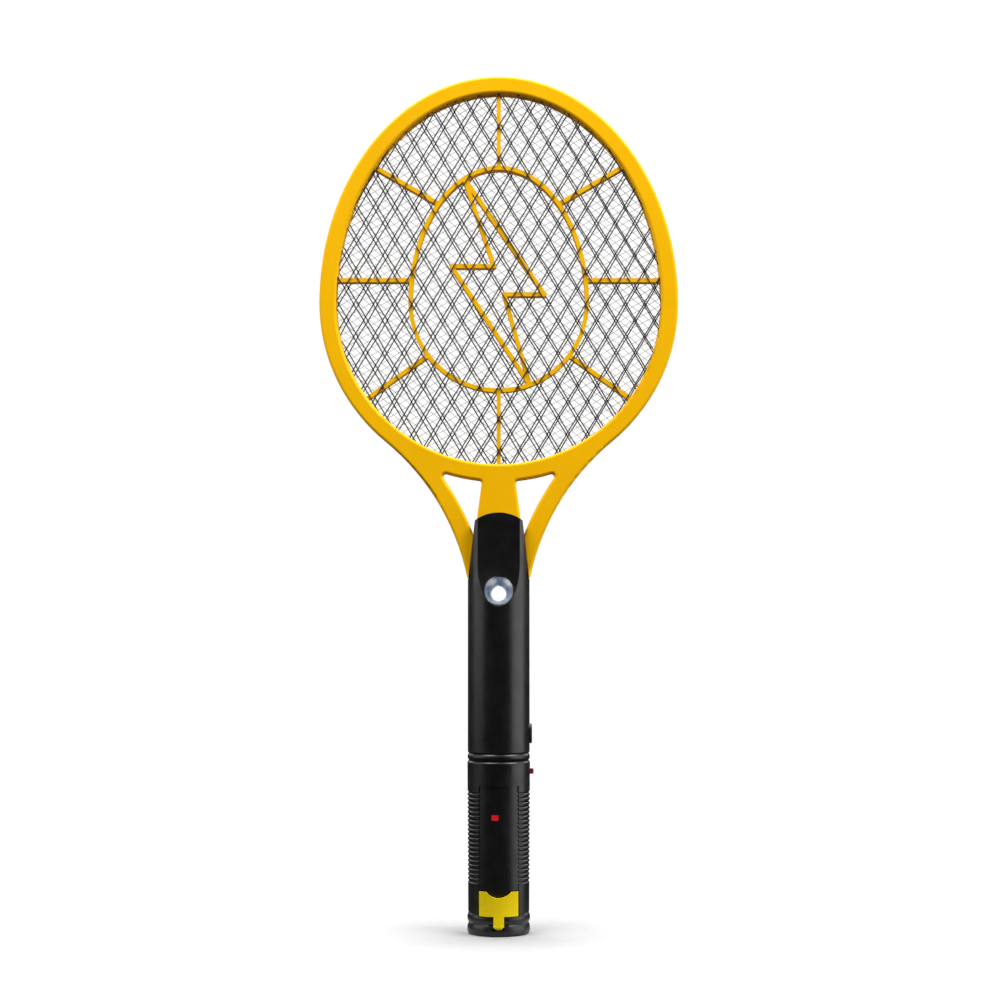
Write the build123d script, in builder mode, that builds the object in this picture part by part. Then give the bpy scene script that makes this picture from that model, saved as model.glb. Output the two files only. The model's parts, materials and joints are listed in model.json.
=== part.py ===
from build123d import *

import os
from math import cos, degrees, atan2, hypot, radians, sin, sqrt

# Electric fly swatter: a three-net racket head on a round handle with a lamp,
# a push button, a slide switch and a charging inlet behind a hinged cover.
# Millimetres. X is across, -Y is the front, Z runs from the base to the head.
# Sketches on the XZ plane are drawn in x and z, and extrude towards the front.

# ---------- head ----------
opening_half_width = 95.0   # also the radius of the opening's round lower half
opening_rise = 123.1        # from the widest line to the top of the opening
ring_band = 10.0            # width of the ring seen from the front
frame_half_depth = 6.5      # depth of each frame half
frame_edge_radius = 1.6

# ---------- throat ----------
stem_length = 18.4          # from the neck's top to the ring's underside
stem_flare = 3.7            # how much wider each side of the stem is at its foot
stem_inset = 1.0            # the stem's foot stands in from the neck's corner
arm_radius = 140.0          # hollow outer edge of each throat arm
arm_width = 10.5
arm_tip_width = 0.7
arm_tip_gap = 0.4
throat_corner_radius = 1.6
tang_length = 32.0          # inside the neck, below its top
tang_side_gap = 1.9

# ---------- ribs ----------
rib_width = 2.4
rib_back = 0.7              # ribs start this far from the parting plane
rib_front = 4.6             # and the guard nets rest on them here
oval_half_width = 51.7
oval_rise = 79.3
level_spoke_above_middle = 13.0
upper_spoke_above_middle = 37.5
upper_spoke_angle = 30.2
lower_spoke_above_middle = -1.7
lower_spoke_angle = -35.5
bolt_top_x = -20.2          # the bolt's two tips lie on the oval
bolt_foot_x = 18.2
bolt_right_corners = ((26.9, 4.7), (3.1, 4.7))      # x, height above the head's middle
bolt_left_corners = ((-27.7, 21.3), (-2.7, 21.3))

# ---------- nets ----------
net_thickness = 0.6
net_strand = 0.7
net_cell_width = 11.3
net_cell_height = 19.1
net_tuck = 1.8              # how far a net reaches into the ring
net_slot_gap = 0.1
wire_radius = 0.18
wire_pitch = 3.75
wire_angles = (30.0, -40.0)

# ---------- upper handle and neck ----------
handle_radius = 18.0
handle_edge_radius = 0.8
wall = 2.0
neck_top_z = 243.5
neck_length = 38.3          # from the shoulder to the neck's top
neck_edge_drop = 4.6        # the neck's top arc falls this much to its corners
neck_step = 0.4             # the neck stands in this much at the shoulder
neck_taper = 3.7            # and this much more at its top corners
neck_gap = 0.12             # between the neck and the frame
scoop_depth = 4.8
scoop_flat = 29.2           # height of the scoop's flat floor
scoop_radius = 67.5

# ---------- lamp ----------
lamp_z = 198.3
lens_radius = 8.4
lens_rise = 2.8
lens_rim = 0.8              # the lens and its cup meet this far below the scoop
lens_edge = 0.4
cup_wall = 0.7
lamp_gap = 0.1
socket_wall = 1.6
socket_depth = 6.0
lamp_flange = 1.2
led_radius = 2.5
led_flange = 1.0
led_tip_depth = 1.2
lamp_lead_half_gap = 1.3
lamp_lead_radius = 0.45

# ---------- collar and lower grip ----------
collar_low_z = 99.8
collar_height = 4.4
collar_swell = 0.1          # beyond the handle's radius, as are the next three
grip_swell = 0.2
ring_swell = 0.2
grip_taper = 0.3            # the grip's foot is this much under the handle's radius
ring_rise = 0.9             # height of the rounded rings above their grooves
spigot_step = 1.5
spigot_rise = 3.2           # above the collar, inside the upper shells
fit_gap = 0.05
base_edge = 1.8
base_cap_height = 6.6
grip_ring_top_z = 12.2
rib_pitch = 2.55
rib_count = 21
rib_first_z = 30.4
rib_depth = 0.5
rib_cutter_radius = 0.95
panel_half_width = 11.6
panel_step = 0.6
panel_top_z = 85.9

# ---------- controls ----------
button_z = 115.2
button_height = 11.4
button_width = 8.0
button_proud = 1.4
button_gap = 0.25
button_travel = 1.2
button_flange = 1.2
button_lip = 1.4
button_corner_radius = 3.6
button_edge_radius = 0.9
zap_switch_size = 7.0
zap_switch_depth = 3.6
plunger_radius = 1.7
plunger_root = 1.4          # length of plunger inside its switch
knob_z = 93.4
knob_height = 3.0
knob_width = 2.6
knob_proud = 2.3
knob_gap = 0.3
knob_travel = 4.0
knob_root = 1.6             # length of knob inside its switch
knob_edge_radius = 0.45
light_switch_depth = 5.0
light_switch_end = 3.2      # each end of the switch beyond its slot

# ---------- charging inlet, its cover and the light beside it ----------
cover_half_width = 11.3
cover_low_z = 11.6
cover_height = 14.0
cover_scoop_half = 7.0
cover_scoop_depth = 3.5
cover_proud = 0.3           # beyond the handle's radius
cover_thickness = 2.1
cover_gap = 0.6
tongue_half_width = 3.05
tongue_low_z = 3.8
hinge_barrel_radius = 1.9
hinge_gap = 0.35
hinge_pin_radius = 0.6
hinge_pin_half = 4.4
inlet_gap = 0.1
inlet_back = 4.0
inlet_low_z = 8.6
inlet_top_z = 28.6
inlet_mouth_half = 7.3
inlet_mouth_half_height = 4.1
inlet_z = 18.3
inlet_floor = 6.0
inlet_pin_radius = 1.2
inlet_pin_spacing = 8.6
inlet_pin_recess = 2.2
inlet_pin_tail = 0.5
indicator_width = 3.9
indicator_height = 3.1
indicator_x = -2.1
indicator_z = 67.9
indicator_proud = 0.1
indicator_flange = 1.0
indicator_flange_depth = 0.8
indicator_led_radius = 1.5
indicator_led_length = 4.6

# ---------- inside ----------
battery_radius = 9.25
battery_length = 50.0
battery_low_z = 32.0
battery_y = 2.0
battery_nub = 0.8
battery_nub_radius = 3.0
tab_thickness = 0.3
tab_half_width = 2.5
cradle_low_z = 40.0
cradle_top_z = 73.0
cradle_thickness = 1.6
board_face = 4.0            # front face of the main board, behind the parting plane
board_thickness = 1.6
board_side_gap = 0.87
board_low_z = 86.0
board_top_z = 190.0
lead_x = 3.2
lead_radius = 0.6
transformer_z = 153.0
transformer_y = -1.75
transformer_size = 16.0
transformer_leg = 4.8
transformer_window_height = 10.0
hv_capacitor_z = 104.0
hv_capacitor_size = (13.0, 11.0, 8.5)
transistor_at = (-7.4, 120.0)
transistor_size = (7.2, 10.0, 3.0)
transistor_hole_radius = 1.5
diode_xs = (-10.6, -7.4, 7.4, 10.6)
diode_z = 180.5
diode_radius = 1.3
diode_length = 4.6
resistor_xs = (1.0, 5.0)
resistor_radius = 1.2
resistor_length = 6.3
component_wire_radius = 0.3
component_wire_length = 1.5

# ---------- screws ----------
screw_radius = 1.1
screw_head_radius = 2.1
screw_head_height = 1.6
screw_gap = 0.05
screw_slot = 0.6
ring_screw_bite = 4.0       # depth of the blind holes in the front frame half
ring_screw_angles = (90, 50, 130, 12, 168, -25, 205, -56, 236)
boss_radius = 3.4
boss_tip_radius = 2.4       # passes through the main board
grip_boss_radius = 2.6
grip_boss_gap = 0.35
handle_screw_heights = (134.0, 172.0)
handle_screw_bite = 7.0     # how far each screw reaches in front of the parting plane
tang_screw_x = 6.0
tang_screw_drop = 19.2      # below the neck's top
tang_screw_bite = 10.0
grip_screw_z = 35.0
upper_grip_screw_z = 90.0
grip_screw_bite = 5.0
pilot_gap = 0.5             # the pilot holes are this much deeper than the screws

# ---------- worked out ----------
collar_top_z = collar_low_z + collar_height
spigot_top_z = collar_top_z + spigot_rise
grip_top_z = collar_low_z
collar_radius = handle_radius + collar_swell
button_back = handle_radius - wall - button_travel - button_flange
button_pressed_back = button_back - button_travel
grip_top_radius = handle_radius + grip_swell
grip_foot_radius = handle_radius - grip_taper
ring_radius = handle_radius + ring_swell
spigot_radius = handle_radius - spigot_step
panel_radius = handle_radius - panel_step
grip_inner_radius = grip_foot_radius - wall
neck_edge_z = neck_top_z - neck_edge_drop
shoulder_z = neck_top_z - neck_length
neck_foot_half = handle_radius - neck_step
neck_top_half = neck_foot_half - neck_taper
scoop_floor = handle_radius - scoop_depth
scoop_top_z = neck_top_z - scoop_flat
stem_foot_half = neck_top_half - stem_inset
stem_top_half = stem_foot_half - stem_flare
tang_half_width = neck_top_half - wall - tang_side_gap
tang_low_z = neck_top_z - tang_length
arm_tip_half = neck_foot_half + arm_tip_width
arm_tip_z = shoulder_z + arm_tip_gap
ring_low_z = neck_top_z + stem_length
opening_low_z = ring_low_z + ring_band
head_z = opening_low_z + opening_half_width
bolt_top_rise = oval_rise * sqrt(1 - (bolt_top_x / oval_half_width) ** 2)
bolt_foot_drop = sqrt(oval_half_width**2 - bolt_foot_x**2)
bolt_corners = (
    (bolt_top_x, bolt_top_rise),
    *bolt_right_corners,
    (bolt_foot_x, -bolt_foot_drop),
    *bolt_left_corners,
)
net_back = rib_front
lamp_drop = scoop_top_z - lamp_z
lamp_reach = scoop_floor + scoop_radius - sqrt(scoop_radius**2 - lamp_drop**2)
lamp_tilt = degrees(atan2(lamp_drop, sqrt(scoop_radius**2 - lamp_drop**2)))
lamp_plane = Plane(
    origin=(0, -lamp_reach, lamp_z),
    x_dir=(1, 0, 0),
    z_dir=(0, -cos(radians(lamp_tilt)), sin(radians(lamp_tilt))),
)
lamp_back = -socket_depth - lamp_flange
cover_outer_radius = handle_radius + cover_proud
cover_inner_radius = cover_outer_radius - cover_thickness
hinge_z = tongue_low_z + hinge_barrel_radius
hinge_reach = cover_outer_radius - hinge_barrel_radius
inlet_radius = grip_inner_radius - inlet_gap
inlet_pin_tip = inlet_radius - inlet_pin_recess
battery_top_z = battery_low_z + battery_length
battery_lead_y = battery_y + battery_radius + 3.25 * lead_radius
board_rear = board_face + board_thickness
board_half_width = sqrt((spigot_radius - wall) ** 2 - board_rear**2) - board_side_gap
handle_screw_seat = handle_radius - 3 * wall
tang_screw_seat = scoop_floor - wall - tang_side_gap / 2 + 0.15
grip_screw_seat = grip_foot_radius - 4.1 * wall
handle_screws_at = tuple((0.0, z) for z in handle_screw_heights)
tang_screws = tuple((x, neck_top_z - tang_screw_drop) for x in (-tang_screw_x, tang_screw_x))
grip_screw_x = battery_radius + grip_boss_radius + grip_boss_gap
grip_screws_at = (
    (-grip_screw_x, grip_screw_z),
    (grip_screw_x, grip_screw_z),
    (grip_boss_radius + fit_gap - grip_inner_radius + grip_boss_radius, upper_grip_screw_z),
)

os.makedirs("parts", exist_ok=True)


def save(part, name):
    """Label one finished piece and write it."""
    part.label = name
    export_step(part, f"parts/{name}.step")


def layer(forward):
    """The XZ plane, moved forward of the parting plane."""
    return Plane.XZ.offset(forward)


def block(x_span, y_span, z_span):
    """A plain box between three pairs of limits."""
    with BuildPart() as box:
        with BuildSketch(Plane.XY.offset(z_span[0])):
            with Locations(((x_span[0] + x_span[1]) / 2, (y_span[0] + y_span[1]) / 2)):
                Rectangle(x_span[1] - x_span[0], y_span[1] - y_span[0])
        extrude(amount=z_span[1] - z_span[0])
    return box.part


# ---------- head outlines ----------
def egg_outline(half_width, rise):
    """A half circle below the head's middle and a half ellipse above it."""
    with BuildSketch() as outline:
        with BuildLine():
            ThreePointArc((-half_width, head_z), (0, head_z - half_width), (half_width, head_z))
            EllipticalCenterArc((0, head_z), half_width, rise, start_angle=0, arc_size=180)
        make_face()
    return outline.sketch


def head_outline(grow):
    """The head's opening, grown outward."""
    return egg_outline(opening_half_width + grow, opening_rise + grow)


def neck_outline(grow):
    """The neck seen from the front, its flare carried on well below the shoulder."""
    flare = (neck_foot_half - neck_top_half) / (neck_edge_z - shoulder_z)
    foot_z = shoulder_z - 2 * handle_radius
    foot_half = neck_foot_half + flare * (shoulder_z - foot_z)
    with BuildSketch() as outline:
        with BuildLine():
            ThreePointArc((-neck_top_half, neck_edge_z), (0, neck_top_z), (neck_top_half, neck_edge_z))
            Polyline(
                (neck_top_half, neck_edge_z),
                (foot_half, foot_z),
                (-foot_half, foot_z),
                (-neck_top_half, neck_edge_z),
            )
        make_face()
        if grow:
            offset(amount=grow, kind=Kind.INTERSECTION)
    return outline.sketch


def arm_centre():
    """Centre of the arm's hollow edge: it touches the ring and passes through the arm's tip."""
    reach = opening_half_width + ring_band + arm_radius
    gap = hypot(arm_tip_half, head_z - arm_tip_z)
    along = (reach**2 - arm_radius**2 + gap**2) / (2 * gap)
    aside = sqrt(reach**2 - along**2)
    down_x = arm_tip_half / gap
    down_z = (arm_tip_z - head_z) / gap
    return (along * down_x - aside * down_z, head_z + along * down_z + aside * down_x)


def frame_outline():
    """The frame seen from the front: ring, two throat arms, stem and tang."""
    centre_x, centre_z = arm_centre()
    start = degrees(atan2(head_z - centre_z, -centre_x))
    turn = degrees(atan2(arm_tip_z - centre_z, arm_tip_half - centre_x)) - start
    with BuildSketch() as outline:
        with BuildLine():
            outer = CenterArc((centre_x, centre_z), arm_radius, start, turn)
            inner = CenterArc((centre_x, centre_z), arm_radius + arm_width, start, turn)
            Line(outer @ 0, inner @ 0)
            Line(outer @ 1, inner @ 1)
        make_face()
        mirror(about=Plane.YZ)
        with BuildLine():
            Polyline(
                (stem_top_half, ring_low_z + ring_band / 2),
                (stem_foot_half, neck_edge_z),
                (-stem_foot_half, neck_edge_z),
                (-stem_top_half, ring_low_z + ring_band / 2),
                close=True,
            )
        make_face()
        add(head_outline(ring_band))
        add(neck_outline(neck_gap), mode=Mode.SUBTRACT)
        add(head_outline(0), mode=Mode.SUBTRACT)
        throat_corners = [
            corner
            for corner in outline.vertices()
            if abs(corner.Y - ring_low_z) < ring_band and abs(corner.X) < opening_half_width / 2
        ]
        fillet(throat_corners, throat_corner_radius)
        with Locations((0, (neck_top_z + 2 + tang_low_z) / 2)):
            Rectangle(2 * tang_half_width, neck_top_z + 2 - tang_low_z)
    return outline.sketch


def rib_outline():
    """The oval, its eight spokes and the bolt inside it."""
    half = rib_width / 2
    with BuildSketch() as spokes:
        spoke(0, 90)
        spoke(0, -90)
        for above_middle, angle in (
            (level_spoke_above_middle, 0),
            (upper_spoke_above_middle, upper_spoke_angle),
            (lower_spoke_above_middle, lower_spoke_angle),
        ):
            spoke(above_middle, angle)
            spoke(above_middle, 180 - angle)
        add(egg_outline(oval_half_width, oval_rise), mode=Mode.SUBTRACT)
    with BuildSketch() as outline:
        add(egg_outline(oval_half_width + half, oval_rise + half))
        add(egg_outline(oval_half_width - half, oval_rise - half), mode=Mode.SUBTRACT)
        add(spokes.sketch)
        add(bolt_outline(half))
        add(head_outline(net_tuck), mode=Mode.INTERSECT)
    return outline.sketch


def spoke(above_middle, angle):
    """A bar from the head's axis outward, past the edge of the opening."""
    with Locations((0, head_z + above_middle)):
        Rectangle(
            2 * opening_half_width,
            rib_width,
            rotation=angle,
            align=(Align.MIN, Align.CENTER),
        )


def bolt_outline(half):
    """The bolt's outline, drawn as a line of the ribs' width with round corners."""
    corners = [(x, head_z + rise) for x, rise in bolt_corners]
    with BuildSketch() as outer:
        with BuildLine():
            Polyline(*corners, close=True)
        make_face()
        offset(amount=half, kind=Kind.ARC)
    with BuildSketch() as bolt:
        add(outer.sketch)
        with BuildSketch(mode=Mode.SUBTRACT):
            with BuildLine():
                Polyline(*corners, close=True)
            make_face()
            offset(amount=-half, kind=Kind.ARC)
    return bolt.sketch


def ring_screw_places():
    """Screw places along the middle of the ring's band."""
    middle = ring_band / 2
    places = []
    for angle in ring_screw_angles:
        rise = opening_rise if sin(radians(angle)) > 0 else opening_half_width
        x = (opening_half_width + middle) * cos(radians(angle))
        z = head_z + (rise + middle) * sin(radians(angle))
        places.append((x, z))
    return places


# ---------- frame halves ----------
frame_face = frame_outline()
rib_face = rib_outline()
ring_screws_at = ring_screw_places()


def frame_half(side, name):
    """One frame half. side is 1 for the front and -1 for the rear."""
    with BuildPart() as half:
        with BuildSketch(layer(0)):
            add(frame_face)
        extrude(amount=side * frame_half_depth)
        face = half.faces().sort_by(Axis.Y)[0 if side > 0 else -1]
        fillet([edge for edge in face.edges() if edge.center().Z > neck_top_z], frame_edge_radius)
        with BuildSketch(layer(side * rib_back)):
            add(rib_face)
        extrude(amount=side * (rib_front - rib_back))
        with BuildSketch(layer(side * net_back)):
            add(head_outline(net_tuck + net_slot_gap))
        extrude(amount=side * (net_thickness + net_slot_gap), mode=Mode.SUBTRACT)
        with BuildSketch(layer(0)):
            add(head_outline(net_tuck + net_slot_gap))
        extrude(amount=side * 2 * wire_radius, mode=Mode.SUBTRACT)
        with BuildSketch(Plane.XY.offset(tang_low_z)):
            with Locations((-lead_x, 0), (lead_x, 0)):
                Circle(lead_radius + 0.3)
        extrude(amount=opening_low_z + 1 - tang_low_z, mode=Mode.SUBTRACT)
        with BuildSketch(layer(0)):
            with Locations(*tang_screws):
                Circle(screw_radius + 0.2)
        extrude(amount=side * frame_half_depth, mode=Mode.SUBTRACT)
        with BuildSketch(layer(0)):
            with Locations(*ring_screws_at):
                Circle(screw_radius + screw_gap)
        extrude(amount=side * (ring_screw_bite if side > 0 else frame_half_depth), mode=Mode.SUBTRACT)
        if side < 0:
            with BuildSketch(layer(-frame_half_depth)):
                with Locations(*ring_screws_at):
                    Circle(screw_head_radius + screw_gap)
            extrude(amount=screw_head_height, mode=Mode.SUBTRACT)
    save(half.part, name)


frame_half(1, "frame_front")
frame_half(-1, "frame_rear")


# ---------- nets ----------
def diamond_places(shift_x, shift_z):
    """Centres of the staggered diamonds whose holes can reach the opening."""
    columns = int(opening_half_width / net_cell_width) + 2
    rows = int(2 * opening_rise / net_cell_height) + 3
    places = []
    for row in range(-rows, rows + 1):
        for column in range(-columns, columns + 1):
            x = (column + (row % 2) / 2) * net_cell_width + shift_x
            z = row * net_cell_height / 2 + shift_z
            rise = opening_rise if z > 0 else opening_half_width
            reach_x = opening_half_width + net_cell_width / 2
            if hypot(x / reach_x, z / (rise + net_cell_height / 2)) < 1:
                places.append((x, head_z + z))
    return places


def guard_net(side, shift_x, shift_z, name):
    """Flat expanded-metal net with a plain rim that the ring holds."""
    pitch = net_cell_width * net_cell_height / hypot(net_cell_width, net_cell_height)
    hole = (pitch - net_strand) / pitch
    half_x = hole * net_cell_width / 2
    half_z = hole * net_cell_height / 2
    with BuildSketch() as holes:
        with Locations(*diamond_places(shift_x, shift_z)):
            Polygon((half_x, 0), (0, half_z), (-half_x, 0), (0, -half_z))
        add(head_outline(0), mode=Mode.INTERSECT)
    with BuildPart() as net:
        with BuildSketch(layer(side * net_back)):
            add(head_outline(net_tuck))
            add(holes.sketch, mode=Mode.SUBTRACT)
        extrude(amount=side * net_thickness)
    save(net.part, name)


def live_net():
    """Two layers of straight parallel wires, one each side of the parting plane."""
    opening = head_outline(net_tuck - 2 * wire_radius)
    reach = opening_rise + opening_half_width
    count = int(reach / wire_pitch) // 2
    middle = Vector(0, head_z + (opening_rise - opening_half_width) / 2)
    wires = []
    for angle, side in zip(wire_angles, (1, -1)):
        along = Vector(cos(radians(angle)), sin(radians(angle)))
        across = Vector(-along.Y, along.X)
        for number in range(-count, count + 1):
            start = middle + across * (number * wire_pitch) - along * reach
            found = opening.intersect(Edge.make_line(start, start + along * (2 * reach)))
            for chord in found.edges() if found else []:
                end = chord.position_at(0)
                flat = Plane(
                    origin=(end.X, -side * wire_radius, end.Y),
                    x_dir=(0, 1, 0),
                    z_dir=chord.tangent_at(0).X * Vector(1, 0, 0) + chord.tangent_at(0).Y * Vector(0, 0, 1),
                )
                with BuildPart() as wire:
                    with BuildSketch(flat):
                        Circle(wire_radius)
                    extrude(amount=chord.length)
                wires.append(wire.part.solids()[0])
    save(Compound(children=wires), "net_middle")


def screws(places, seat, length):
    """Screws driven from the rear. Their heads rest at this distance behind the parting plane."""
    with BuildPart() as group:
        with BuildSketch(layer(-seat)):
            with Locations(*places):
                Circle(screw_radius)
        extrude(amount=length)
        with BuildSketch(layer(-seat)):
            with Locations(*places):
                Circle(screw_head_radius)
        extrude(amount=-screw_head_height)
        with BuildSketch(layer(-seat - screw_head_height)):
            with Locations(*places):
                Rectangle(1.3 * screw_head_radius, screw_slot)
                Rectangle(screw_slot, 1.3 * screw_head_radius)
        extrude(amount=screw_head_height / 2, mode=Mode.SUBTRACT)
    return group.part


# ---------- upper handle ----------
def handle_form(inset):
    """The upper handle and neck as one solid, with every face moved in by the inset."""
    with BuildPart() as form:
        with BuildSketch(Plane.XY.offset(collar_top_z)):
            Circle(handle_radius - inset)
        extrude(amount=neck_top_z + 1 - collar_top_z)
        if not inset:
            fillet(form.edges().group_by(Axis.Z)[0], handle_edge_radius)
        with BuildSketch(Plane.XZ):
            add(neck_outline(-inset))
            with Locations((0, (shoulder_z - inset) / 2)):
                Rectangle(2 * handle_radius, shoulder_z - inset)
        extrude(amount=handle_radius, both=True, mode=Mode.INTERSECT)
        floor = scoop_floor - inset
        with BuildSketch(Plane.YZ):
            for side in (-1, 1):
                with Locations((side * (floor + scoop_radius + inset), scoop_top_z)):
                    Circle(scoop_radius + inset)
                with Locations((side * (floor + handle_radius / 2), scoop_top_z + handle_radius)):
                    Rectangle(handle_radius, 2 * handle_radius)
        extrude(amount=handle_radius, both=True, mode=Mode.SUBTRACT)
    return form.part


def upper_shell(side, name):
    """One half of the upper handle. side is 1 for the front and -1 for the rear."""
    with BuildPart() as shell:
        add(handle_outer)
        add(handle_inner, mode=Mode.SUBTRACT)
        with BuildSketch(layer(side * (frame_half_depth + neck_gap))):
            with Locations(*tang_screws):
                Circle(boss_radius)
        extrude(amount=side * handle_radius)
        boss_start = 0 if side > 0 else board_rear
        with BuildSketch(layer(side * boss_start)):
            with Locations(*handle_screws_at):
                Circle(boss_radius)
        extrude(amount=side * handle_radius)
        with BuildSketch(layer(0)):
            with Locations(*handle_screws_at):
                Circle(boss_tip_radius)
        extrude(amount=side * handle_radius)
        if side > 0:
            with BuildSketch(lamp_plane.offset(-socket_depth)):
                Circle(lens_radius + lamp_gap + socket_wall)
            extrude(amount=socket_depth + socket_wall)
        add(handle_outer, mode=Mode.INTERSECT)
        with BuildSketch(Plane.XY.offset(collar_top_z)):
            Circle(spigot_radius + fit_gap)
        extrude(amount=spigot_rise + fit_gap, mode=Mode.SUBTRACT)
        with BuildSketch(Plane.XY.offset(neck_edge_z - 2 * wall)):
            Rectangle(2 * (tang_half_width + neck_gap), 2 * (frame_half_depth + neck_gap))
        extrude(amount=2 * neck_edge_drop + 2 * wall, mode=Mode.SUBTRACT)
        with BuildSketch(Plane.YZ.offset(handle_radius / 2)):
            with Locations((0, button_z)):
                RectangleRounded(
                    button_width + 2 * button_gap, button_height + 2 * button_gap,
                    button_corner_radius + button_gap,
                )
        extrude(amount=handle_radius, mode=Mode.SUBTRACT)
        hole = screw_radius + screw_gap
        with BuildSketch(layer(0)):
            with Locations(*handle_screws_at, *tang_screws):
                Circle(hole)
        reach = tang_screw_bite + pilot_gap
        extrude(amount=side * (reach if side > 0 else handle_radius), mode=Mode.SUBTRACT)
        if side > 0:
            with BuildSketch(lamp_plane.offset(-socket_depth)):
                Circle(lens_radius + lamp_gap)
            extrude(amount=2 * socket_depth, mode=Mode.SUBTRACT)
        else:
            with BuildSketch(layer(-handle_screw_seat)):
                with Locations(*handle_screws_at):
                    Circle(screw_head_radius + screw_gap)
            extrude(amount=-handle_radius, mode=Mode.SUBTRACT)
            with BuildSketch(layer(-tang_screw_seat)):
                with Locations(*tang_screws):
                    Circle(screw_head_radius + screw_gap)
            extrude(amount=-handle_radius, mode=Mode.SUBTRACT)
        split(bisect_by=Plane.XZ, keep=Keep.TOP if side > 0 else Keep.BOTTOM)
    save(shell.part, name)


# ---------- lower grip ----------
def grip_radius_at(z):
    """Radius of the tapered grip at a height."""
    share = (z - grip_ring_top_z) / (grip_top_z - grip_ring_top_z)
    return grip_foot_radius + share * (grip_top_radius - grip_foot_radius)


def grip_form():
    """The lower grip as one hollow turned solid, with its spigot."""
    ring_foot = ring_radius - ring_rise
    inner = grip_inner_radius
    with BuildPart() as form:
        with BuildSketch(Plane.XZ):
            with BuildLine():
                Line((inner, base_cap_height), (ring_foot, base_cap_height))
                ThreePointArc(
                    (ring_foot, base_cap_height),
                    (ring_radius, (base_cap_height + grip_ring_top_z) / 2),
                    (ring_foot, grip_ring_top_z),
                )
                Polyline(
                    (ring_foot, grip_ring_top_z),
                    (grip_foot_radius, grip_ring_top_z + ring_rise / 2),
                    (grip_top_radius, grip_top_z - 2 * ring_rise),
                )
                ThreePointArc(
                    (grip_top_radius, grip_top_z - 2 * ring_rise),
                    (grip_top_radius - 0.3 * ring_rise, grip_top_z - 0.6 * ring_rise),
                    (ring_foot, grip_top_z),
                )
                Polyline(
                    (ring_foot, grip_top_z),
                    (spigot_radius, grip_top_z),
                    (spigot_radius, spigot_top_z),
                    (spigot_radius - wall, spigot_top_z),
                    (spigot_radius - wall, grip_top_z - wall),
                    (inner, grip_top_z - wall),
                    (inner, base_cap_height),
                )
            make_face()
        revolve(axis=Axis.Z)
    return form.part


def rib_cutter():
    """Rounded grooves around both sides of the grip, clear of the front and rear panels."""
    with BuildPart() as cutter:
        with BuildSketch(Plane.XZ):
            for index in range(rib_count):
                z = rib_first_z + index * rib_pitch
                with Locations((grip_radius_at(z) + rib_cutter_radius - rib_depth, z)):
                    Circle(rib_cutter_radius)
        revolve(axis=Axis.Z)
        with BuildSketch(Plane.XY):
            Rectangle(4 * handle_radius, 4 * handle_radius)
            Rectangle(2 * panel_half_width, 4 * handle_radius, mode=Mode.SUBTRACT)
        extrude(amount=grip_top_z, mode=Mode.INTERSECT)
    return cutter.part


def cover_outline():
    """The inlet cover seen from the front: a pad with a scooped top edge, and a tongue."""
    top_z = cover_low_z + cover_height
    round_z = tongue_low_z + tongue_half_width
    with BuildSketch() as outline:
        with BuildLine():
            Polyline(
                (cover_scoop_half, top_z),
                (cover_half_width, top_z),
                (cover_half_width, cover_low_z),
                (tongue_half_width, cover_low_z),
                (tongue_half_width, round_z),
            )
            ThreePointArc((tongue_half_width, round_z), (0, tongue_low_z), (-tongue_half_width, round_z))
            Polyline(
                (-tongue_half_width, round_z),
                (-tongue_half_width, cover_low_z),
                (-cover_half_width, cover_low_z),
                (-cover_half_width, top_z),
                (-cover_scoop_half, top_z),
            )
            ThreePointArc((-cover_scoop_half, top_z), (0, top_z - cover_scoop_depth), (cover_scoop_half, top_z))
        make_face()
    return outline.sketch


def cover_hole_outline():
    """The hole around the cover. It runs straight across above the scooped edge, for a fingertip."""
    with BuildSketch() as outline:
        with Locations((0, cover_low_z + cover_height / 2)):
            Rectangle(2 * (cover_half_width + cover_gap), cover_height + 2 * cover_gap)
        with Locations((0, (cover_low_z + tongue_low_z) / 2)):
            Rectangle(2 * (tongue_half_width + hinge_gap), cover_low_z - tongue_low_z + 2 * hinge_gap)
    return outline.sketch


def grip_boss_form():
    """The posts for the grip's screws, cut to the inside of its wall."""
    with BuildPart() as bosses:
        with BuildSketch(layer(0)):
            with Locations(*grip_screws_at):
                Circle(grip_boss_radius)
        extrude(amount=handle_radius, both=True)
        with BuildSketch(Plane.XY):
            Circle(grip_foot_radius - wall / 2)
        extrude(amount=grip_top_z, mode=Mode.INTERSECT)
    return bosses.part


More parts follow.
